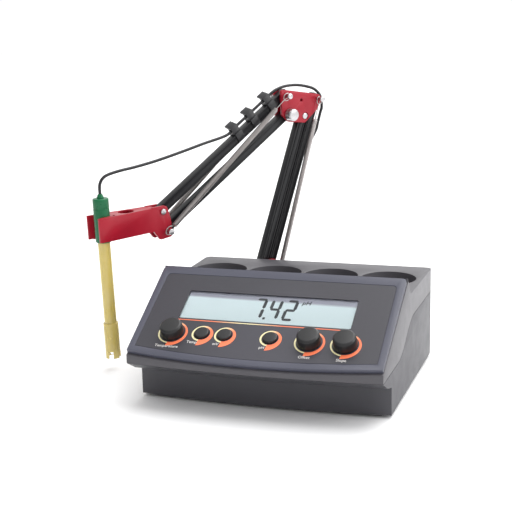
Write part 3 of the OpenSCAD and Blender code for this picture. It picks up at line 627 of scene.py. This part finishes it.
class METER_OT_cable(bpy.types.Operator):
    """Lays the electrode's cable from its cap to the connector behind the case"""
    bl_idname = "meter.cable"
    bl_label = "Cable"

    def execute(self, context):
        sizes = context.scene.meter_sizes
        diameter = sizes.cable
        radius = diameter / 2
        jacket = soft_rubber("Cable jacket", (0.012, 0.012, 0.014), 0.42)

        def run(name, line, nodes, start, end):
            piece = finish_with(tube(name, line, radius), jacket)
            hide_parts(*nodes)
            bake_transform(piece)
            length_of(line)

        arc = arm_line([above_relief(rise) for rise in (0.06, 5)] + ARC_ROUTE
                       + [on_bar(d) for d in (79, 68, 56, 44, 31, 18)])
        run("cable_to_clips", arc, ["cable_arc"], arc[8], in_arm(*on_bar(76)))
        elbow = arm_line([on_bar(d) for d in (18, 13, 8)] + ELBOW_ROUTE)
        run("cable_over_elbow", elbow, ["cable_elbow"], in_arm(*on_bar(9)),
            in_arm(-44, 0, 262))
        back = arm_line([ELBOW_ROUTE[-1]] + BACK_ROUTE)
        run("cable_down_arm", back, ["cable_back"], back[0], in_arm(-71, 0, 212))
        drop = arm_line([BACK_ROUTE[-1]] + DROP_ROUTE)
        run("cable_at_swivel", drop, ["cable_drop"], drop[4], drop[-4])

        landing = [in_arm(*point) for point in [DROP_ROUTE[-1]] + LANDING_ROUTE]
        turns = []
        per_turn = 14
        lift = radius / MM + 0.1
        coil_outer = COIL_INNER + 3 * COIL_TURNS
        for k in range(1, COIL_TURNS * per_turn + 1):
            share = k / (COIL_TURNS * per_turn)
            angle = pi / 2 - 2 * pi * COIL_TURNS * share
            reach = coil_outer - 3 * COIL_TURNS * share
            hump = 3.1 * max(0.0, (share - 0.93) / 0.07) ** 2
            x, y = COIL_AT[0] + reach * cos(angle), COIL_AT[1] + reach * sin(angle)
            turns.append(Vector((x, y, lift + hump)))
        bench = [Vector(point) for point in BENCH_ROUTE] + turns + [Vector(point) for point in TAIL_ROUTE]
        line = spline_points(landing + [point * MM for point in bench], 5)
        run("cable_on_bench", line, ["cable_lead", "cable_coil"], landing[0],
            landing[0] + Vector((20, 0, -45)) * MM)
        return {"FINISHED"}


class METER_OT_tie(bpy.types.Operator):
    """Adds the tie that holds the stored turns of cable together"""
    bl_idname = "meter.tie"
    bl_label = "Cable tie"

    def execute(self, context):
        middle = COIL_INNER + 1.5 * COIL_TURNS
        nothing_selected()
        bpy.ops.mesh.primitive_cylinder_add(vertices=40, radius=1, depth=3.2 * MM, end_fill_type="NOTHING",
                                            location=Vector((COIL_AT[0] - middle, COIL_AT[1], 1.95)) * MM,
                                            rotation=(pi / 2, 0, 0))
        tie = context.object
        tie.name = "cable_tie"
        tie.scale = (7.6 * MM, 1.85 * MM, 1)
        settle(tie)
        modifier(tie, "SOLIDIFY", thickness=0.0007, offset=-1)
        modifier(tie, "BEVEL", width=0.0002, segments=2, limit_method="ANGLE")
        finish_with(smooth(tie), soft_rubber("Tie nylon", (0.02, 0.02, 0.022), 0.5))
        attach(tie, "root")
        return {"FINISHED"}


class METER_OT_springs(bpy.types.Operator):
    """Winds the four balance springs with their end links"""
    bl_idname = "meter.springs"
    bl_label = "Balance springs"

    def raised_end(self, side):
        """The upper spring's outer pin seen from the upper bar, with the arm raised to its stop."""
        limit = radians(JOINTS["upper_arm_lift"]["range_deg"][1])
        turned = (HOLDER_LOW[0] - HOLDER_TOP[0], HOLDER_LOW[1] - HOLDER_TOP[1])
        x = turned[0] * cos(-limit) - turned[1] * sin(-limit)
        z = turned[0] * sin(-limit) + turned[1] * cos(-limit)
        return in_arm(HOLDER_TOP[0] + x, side, HOLDER_TOP[1] + z)

    def wind(self, name, start, finish_at, side, plain, sizes):
        """A close-wound coil between two thin straight ends with eyes."""
        a, b = in_arm(start[0], side, start[1]), in_arm(finish_at[0], side, finish_at[1])
        ahead = (b - a).normalized()
        across = (in_arm(0, 1, 0) - in_arm(0, 0, 0)).normalized()
        over = ahead.cross(across)
        wire = sizes.wire / 2
        reach = sizes.coil / 2 - wire
        span = (b - a).length
        from_at, to_at = plain * MM, span - 0.008
        steps = 12
        turns = int((to_at - from_at) / (sizes.wire * 1.04))
        line = []
        for k in range(EYE_STEPS + 1):
            turn = -pi + 2 * pi * (k / EYE_STEPS) * EYE_SHARE
            line.append(a + (0.0043 * cos(turn + 0.45) + 0.0013) * ahead + 0.0034 * sin(turn + 0.45) * over)
        line = list(reversed(line))
        line.append(a + ahead * 0.0074)
        line.append(a + ahead * (from_at - 0.0012))
        for k in range(turns * steps + 1):
            turn = 2 * pi * k / steps
            travel = from_at + (to_at - from_at) * k / (turns * steps)
            line.append(a + ahead * travel + reach * (cos(turn) * across + sin(turn) * over))
        line.append(b - ahead * 0.0070)
        for k in range(EYE_STEPS + 1):
            turn = 2 * pi * (k / EYE_STEPS) * EYE_SHARE + 0.45
            line.append(b - (0.0049 * cos(turn) + 0.0010) * ahead + 0.0036 * sin(turn) * over)
        return tube(name, line, wire, sides=6)

    def execute(self, context):
        sizes = context.scene.meter_sizes
        chrome = bright_metal("Spring wire", (0.46, 0.43, 0.42), 0.3)
        for label, side in (("near", SPRING_SIDE), ("far", -SPRING_SIDE)):
            lower = self.wind("lower_spring_" + label, ELBOW_REAR, FOOT_ANCHOR, side, 22, sizes)
            finish_with(lower, chrome)
            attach(lower, "lower_balance")
            upper = self.wind("upper_spring_" + label, ELBOW_TOP, HOLDER_LOW, side, 20, sizes)
            finish_with(upper, chrome)
            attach(upper, "upper_arm")
            start, end = in_arm(ELBOW_TOP[0], side, ELBOW_TOP[1]), in_arm(HOLDER_LOW[0], side, HOLDER_LOW[1])
            raised = self.raised_end(side)
            travel = end - raised
            axis = travel.normalized()
            1 - travel.length / (end - start).dot(axis)
            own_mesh(upper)
            if label == "near":
                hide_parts("lower_springs")
                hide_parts("upper_springs")
        return {"FINISHED"}


class METER_OT_case(bpy.types.Operator):
    """Rounds and finishes the two shells, the bezel and the printed sheet"""
    bl_idname = "meter.case"
    bl_label = "Case"

    def execute(self, context):
        sizes, colours = context.scene.meter_sizes, context.scene.meter_colours
        softened("top_case", moulded_plastic("Upper shell plastic", colours.case, 0.40), sizes.shell_edge, 3)
        softened("base_case", moulded_plastic("Lower shell plastic", colours.base, 0.44), sizes.shell_edge, 3)
        softened("front_bezel", moulded_plastic("Bezel plastic", colours.bezel, 0.38), 0.0008, 3)
        dressed("panel_label", panel_print(colours))
        dressed("display_window", clear_window())
        dressed("display_module", moulded_plastic("Display frame", (0.20, 0.20, 0.21)))
        board = board_mask()
        for node in ("main_board", "input_board"):
            dressed(node, board)
        dressed("key_switches", moulded_plastic("Switch plastic", (0.02, 0.02, 0.022)))
        dressed("feet", soft_rubber("Foot rubber", (0.02, 0.02, 0.021), 0.7))
        for node in ("probe_socket", "power_socket"):
            softened(node, moulded_plastic("Socket plastic", (0.018, 0.018, 0.02), 0.5), sizes.small_edge)
        return {"FINISHED"}


class METER_OT_controls(bpy.types.Operator):
    """Rounds and finishes the knobs and keys, and prints a ring round each"""
    bl_idname = "meter.controls"
    bl_label = "Knobs and keys"

    def ring(self, name, at, inner, thin, thick, ink):
        """A thin pale arc that turns orange on the right and swells to a blunt end at the bottom."""
        steps = 96
        lower, upper, shares = [], [], []
        for k in range(steps + 1):
            share = k / steps
            turn = radians(263 - 360 * share)
            swell = max(0.0, (share - 0.3) / 0.7) ** 3
            for side, reach in ((lower, inner), (upper, inner + thin + (thick - thin) * swell)):
                side.append((at[0] + reach * cos(turn), at[1] + reach * sin(turn)))
            shares.append(min(1.0, max(0.0, (share - 0.44) / 0.2)))
        printed_strip(name, lower, upper, shares, ink)

    def execute(self, context):
        sizes, colours = context.scene.meter_sizes, context.scene.meter_colours
        satin = moulded_plastic("Knob plastic", (0.011, 0.011, 0.012), 0.36, 1500, 0.00006, 0.1)
        steel = bright_metal("Turned steel", (0.62, 0.62, 0.63), 0.3)
        ink = shaded_ink(colours)
        gap = sizes.ring_gap / MM
        for node, at in KNOBS.items():
            softened(node, satin, 0.0005, 3)
            dressed(node.replace("knob", "shaft"), steel)
            self.ring(node + "_ring", at, KNOB_RADIUS + gap, 1.4, 4.6, ink)
        for node, at in KEYS.items():
            softened(node, satin, 0.0004, 3)
            self.ring(node + "_ring", at, KEY_RADIUS + gap, 1.6, 7.0, ink)
        dressed("potentiometers", steel)
        return {"FINISHED"}


class METER_OT_display(bpy.types.Operator):
    """Adds the display's ground, its slanted digits and the line printed under the window"""
    bl_idname = "meter.display"
    bl_label = "Display"

    def digit(self, name, at, lit, ink, height=26.2, width=10.5, bar=2.8, slant=0.055):
        """One seven-bar figure from the bars that are lit."""
        half, gap = height / 2, 0.35

        def place(x, y):
            return at[0] + x + slant * y, at[1] + y

        def across(y, trim):
            return [(bar * 0.25, y), (bar * 0.75, y + bar / 2), (width - bar * 0.75, y + bar / 2),
                    (width - bar * 0.25, y), (width - bar * trim, y - bar / 2), (bar * trim, y - bar / 2)]

        def upright(x, low, high):
            return [(x, low + gap), (x + bar / 2, low + gap + bar / 2), (x + bar / 2, high - gap - bar / 2),
                    (x, high - gap), (x - bar / 2, high - gap - bar / 2), (x - bar / 2, low + gap + bar / 2)]

        left, right, trim = bar / 2, width - bar / 2, 0.75
        bars = {"a": across(height - bar / 2, trim), "g": across(half, trim), "d": across(bar / 2, trim),
                "f": upright(left, half, height - bar / 2), "b": upright(right, half, height - bar / 2),
                "e": upright(left, bar / 2, half), "c": upright(right, bar / 2, half)}
        for key in lit:
            outline = [place(x, y) for x, y in bars[key]]
            panel_shape(f"{name}_{key}", outline[::-1], FIGURE_FACE, FIGURE_THICK, ink)

    def execute(self, context):
        colours = context.scene.meter_colours
        half_w, half_h = WINDOW_SIZE[0] / 2 + 1, WINDOW_SIZE[1] / 2 + 1
        x0, y0 = WINDOW_AT
        ground = [(x0 - half_w, y0 - half_h), (x0 + half_w, y0 - half_h),
                  (x0 + half_w, y0 + half_h), (x0 - half_w, y0 + half_h)]
        panel_shape("display_ground", ground, GROUND_FACE, 0.1, display_ground(colours))
        ink = Finish("Display figures", (0.012, 0.013, 0.016), 0.35)
        ink.paint(ink.vary((0.012, 0.013, 0.016), 0.2, 200))
        self.digit("figure_ones", (-15.2, FIGURE_BASE), "abc", ink)
        self.digit("figure_tenths", (-0.6, FIGURE_BASE), "bcfg", ink)
        self.digit("figure_hundredths", (13.5, FIGURE_BASE), "abdeg", ink)
        point_top = FIGURE_BASE + 2.6
        point = [(-3.2, FIGURE_BASE), (-0.9, FIGURE_BASE), (-0.7, point_top), (-3.0, point_top)]
        panel_shape("figure_point", point, FIGURE_FACE, FIGURE_THICK, ink)
        self.words("pH", (28.2, 71.3), 4.8, ink, FIGURE_FACE, shear=0.2, bold=0.00014)
        across = [-79 + 158 * k / 32 for k in range(33)]
        shares = [min(1.0, max(0.0, (abs(x + 14) - 6) / 26)) for x in across]
        printed_strip("window_line", [(x, 41.4) for x in across], [(x, 42.3) for x in across], shares,
                      shaded_ink(colours))
        pale = printed_ink("Legend ink", (0.62, 0.60, 0.58))
        for text, at in (("Temperature", (-90, 7.2)), ("Temp", (-62.4, 14.0)), ("mV", (-38.4, 13.8)),
                         ("pH", (3.8, 13.6)), ("Offset", (40.3, 6.2)), ("Slope", (73.0, 6.0))):
            self.words(text, at, 3.0, pale, LABEL_FACE + 0.01)
        return {"FINISHED"}

    def words(self, text, at, height, ink, level, shear=0.0, bold=0.00004):
        nothing_selected()
        bpy.ops.object.text_add()
        made = bpy.context.object
        made.data.body, made.data.size, made.data.shear = text, height * 1.35 * MM, shear
        made.data.extrude, made.data.offset = 0.00003, bold
        made.name = "legend_" + text + "_" + str(int(abs(at[0])))
        bpy.ops.object.convert(target="MESH")
        piece = bpy.context.object
        piece.location = on_panel(at[0], at[1], level + 0.03)
        piece.rotation_euler = (PANEL_TILT, 0, 0)
        finish_with(settle(piece), ink)
        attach(piece, "root")


class METER_OT_arm(bpy.types.Operator):
    """Finishes the swivel, the bars, the elbow, the holder and their pins"""
    bl_idname = "meter.arm"
    bl_label = "Arm"

    def execute(self, context):
        sizes, colours = context.scene.meter_sizes, context.scene.meter_colours
        red = gloss_plastic("Red plastic", colours.red, 0.34)
        for node in ("elbow_plate_front", "elbow_plate_rear", "electrode_holder", "swivel_bracket"):
            softened(node, red, 0.0005, 2)
        dressed("elbow_spacer", red)
        bars = {"lower_bar_front": (FOOT_FRONT, LOWER_ANGLE), "lower_bar_rear": (FOOT_REAR, LOWER_ANGLE),
                "upper_bar": (ELBOW_TOP, UPPER_ANGLE), "upper_link": (ELBOW_LOW, UPPER_ANGLE)}
        for node, (start, angle) in bars.items():
            turn = (Matrix.Rotation(ARM_TURN, 3, "Z") @ Matrix.Rotation(-angle, 3, "Y")).to_euler()
            origin = in_arm(start[0], 0, start[1])
            finish = drawn_bar(node + " finish", (0.006, 0.006, 0.0075), origin, tuple(turn))
            softened(node, finish, 0.0005, 2)
        chrome = bright_metal("Polished pins", (0.50, 0.49, 0.50), 0.26)
        for node in ("bracket_pins", "elbow_pins", "holder_pins", "elbow_knob"):
            softened(node, chrome, 0.00035, 2)
        steel = bright_metal("Dull steel", (0.55, 0.56, 0.57), 0.34)
        softened("swivel_post", steel, sizes.small_edge)
        dressed("swivel_bush", moulded_plastic("Bush plastic", (0.78, 0.76, 0.70)))
        softened("stand_plate", moulded_plastic("Coated steel", (0.02, 0.02, 0.024), 0.5, 500), 0.0006)
        for node in ("plate_screws", "case_screws", "board_screws"):
            dressed(node, steel)
        softened("cable_clips", moulded_plastic("Clip plastic", (0.014, 0.014, 0.016), 0.36),
                 sizes.small_edge)
        return {"FINISHED"}


class METER_OT_electrode(bpy.types.Operator):
    """Finishes the electrode and the connectors behind the case"""
    bl_idname = "meter.electrode"
    bl_label = "Electrode and connectors"

    def execute(self, context):
        sizes, colours = context.scene.meter_sizes, context.scene.meter_colours
        green = gloss_plastic("Green cap", colours.green, 0.3)
        softened("electrode_cap", green, 0.0004, 3)
        softened("strain_relief", green, sizes.small_edge)
        amber = amber_tube(colours)
        dressed("electrode_tube", amber)
        softened("electrode_guard", amber, 0.0002)
        dressed("junction_ring", moulded_plastic("Junction", (0.60, 0.20, 0.03), 0.7, 1800, 0.0002))
        dressed("electrode_core", moulded_plastic("Core", (0.62, 0.50, 0.25), 0.5))
        glass = Finish("Thin glass", (0.96, 0.98, 0.98), 0.04, transmission_weight=1.0, ior=1.45)
        glass.feed("Roughness", glass.noise(300, 2) * 0.05 + 0.02)
        dressed("sensing_bulb", glass)
        chrome = bright_metal("Connector metal", (0.78, 0.78, 0.79), 0.24)
        for node in ("bnc_socket", "bnc_plug", "bnc_ring"):
            softened(node, chrome, 0.00025)
        return {"FINISHED"}


# The cable comes after the electrode
OPERATORS = (METER_OT_stage, METER_OT_electrode, METER_OT_cable, METER_OT_tie, METER_OT_springs,
             METER_OT_case, METER_OT_controls, METER_OT_display, METER_OT_arm)


class METER_PT_panel(bpy.types.Panel):
    """Lists the pieces of the meter"""
    bl_label = "pH meter"
    bl_idname = "METER_PT_panel"
    bl_space_type = "VIEW_3D"
    bl_region_type = "UI"
    bl_category = "pH meter"

    def draw(self, context):
        for group in (context.scene.meter_sizes, context.scene.meter_colours):
            for key in group.bl_rna.properties.keys():
                if key not in ("rna_type", "name"):
                    self.layout.prop(group, key)
        for operator in OPERATORS:
            self.layout.operator(operator.bl_idname)


CLASSES = (MeterSizes, MeterColours, *OPERATORS, METER_PT_panel)


def register():
    for item in CLASSES:
        bpy.utils.register_class(item)
    bpy.types.Scene.meter_sizes = bpy.props.PointerProperty(type=MeterSizes)
    bpy.types.Scene.meter_colours = bpy.props.PointerProperty(type=MeterColours)


def unregister():
    del bpy.types.Scene.meter_sizes, bpy.types.Scene.meter_colours
    for item in reversed(CLASSES):
        bpy.utils.unregister_class(item)


def main():
    register()
    for operator in OPERATORS:
        group, name = operator.bl_idname.split(".")
        getattr(getattr(bpy.ops, group), name)()


if __name__ == "__main__":
    main()
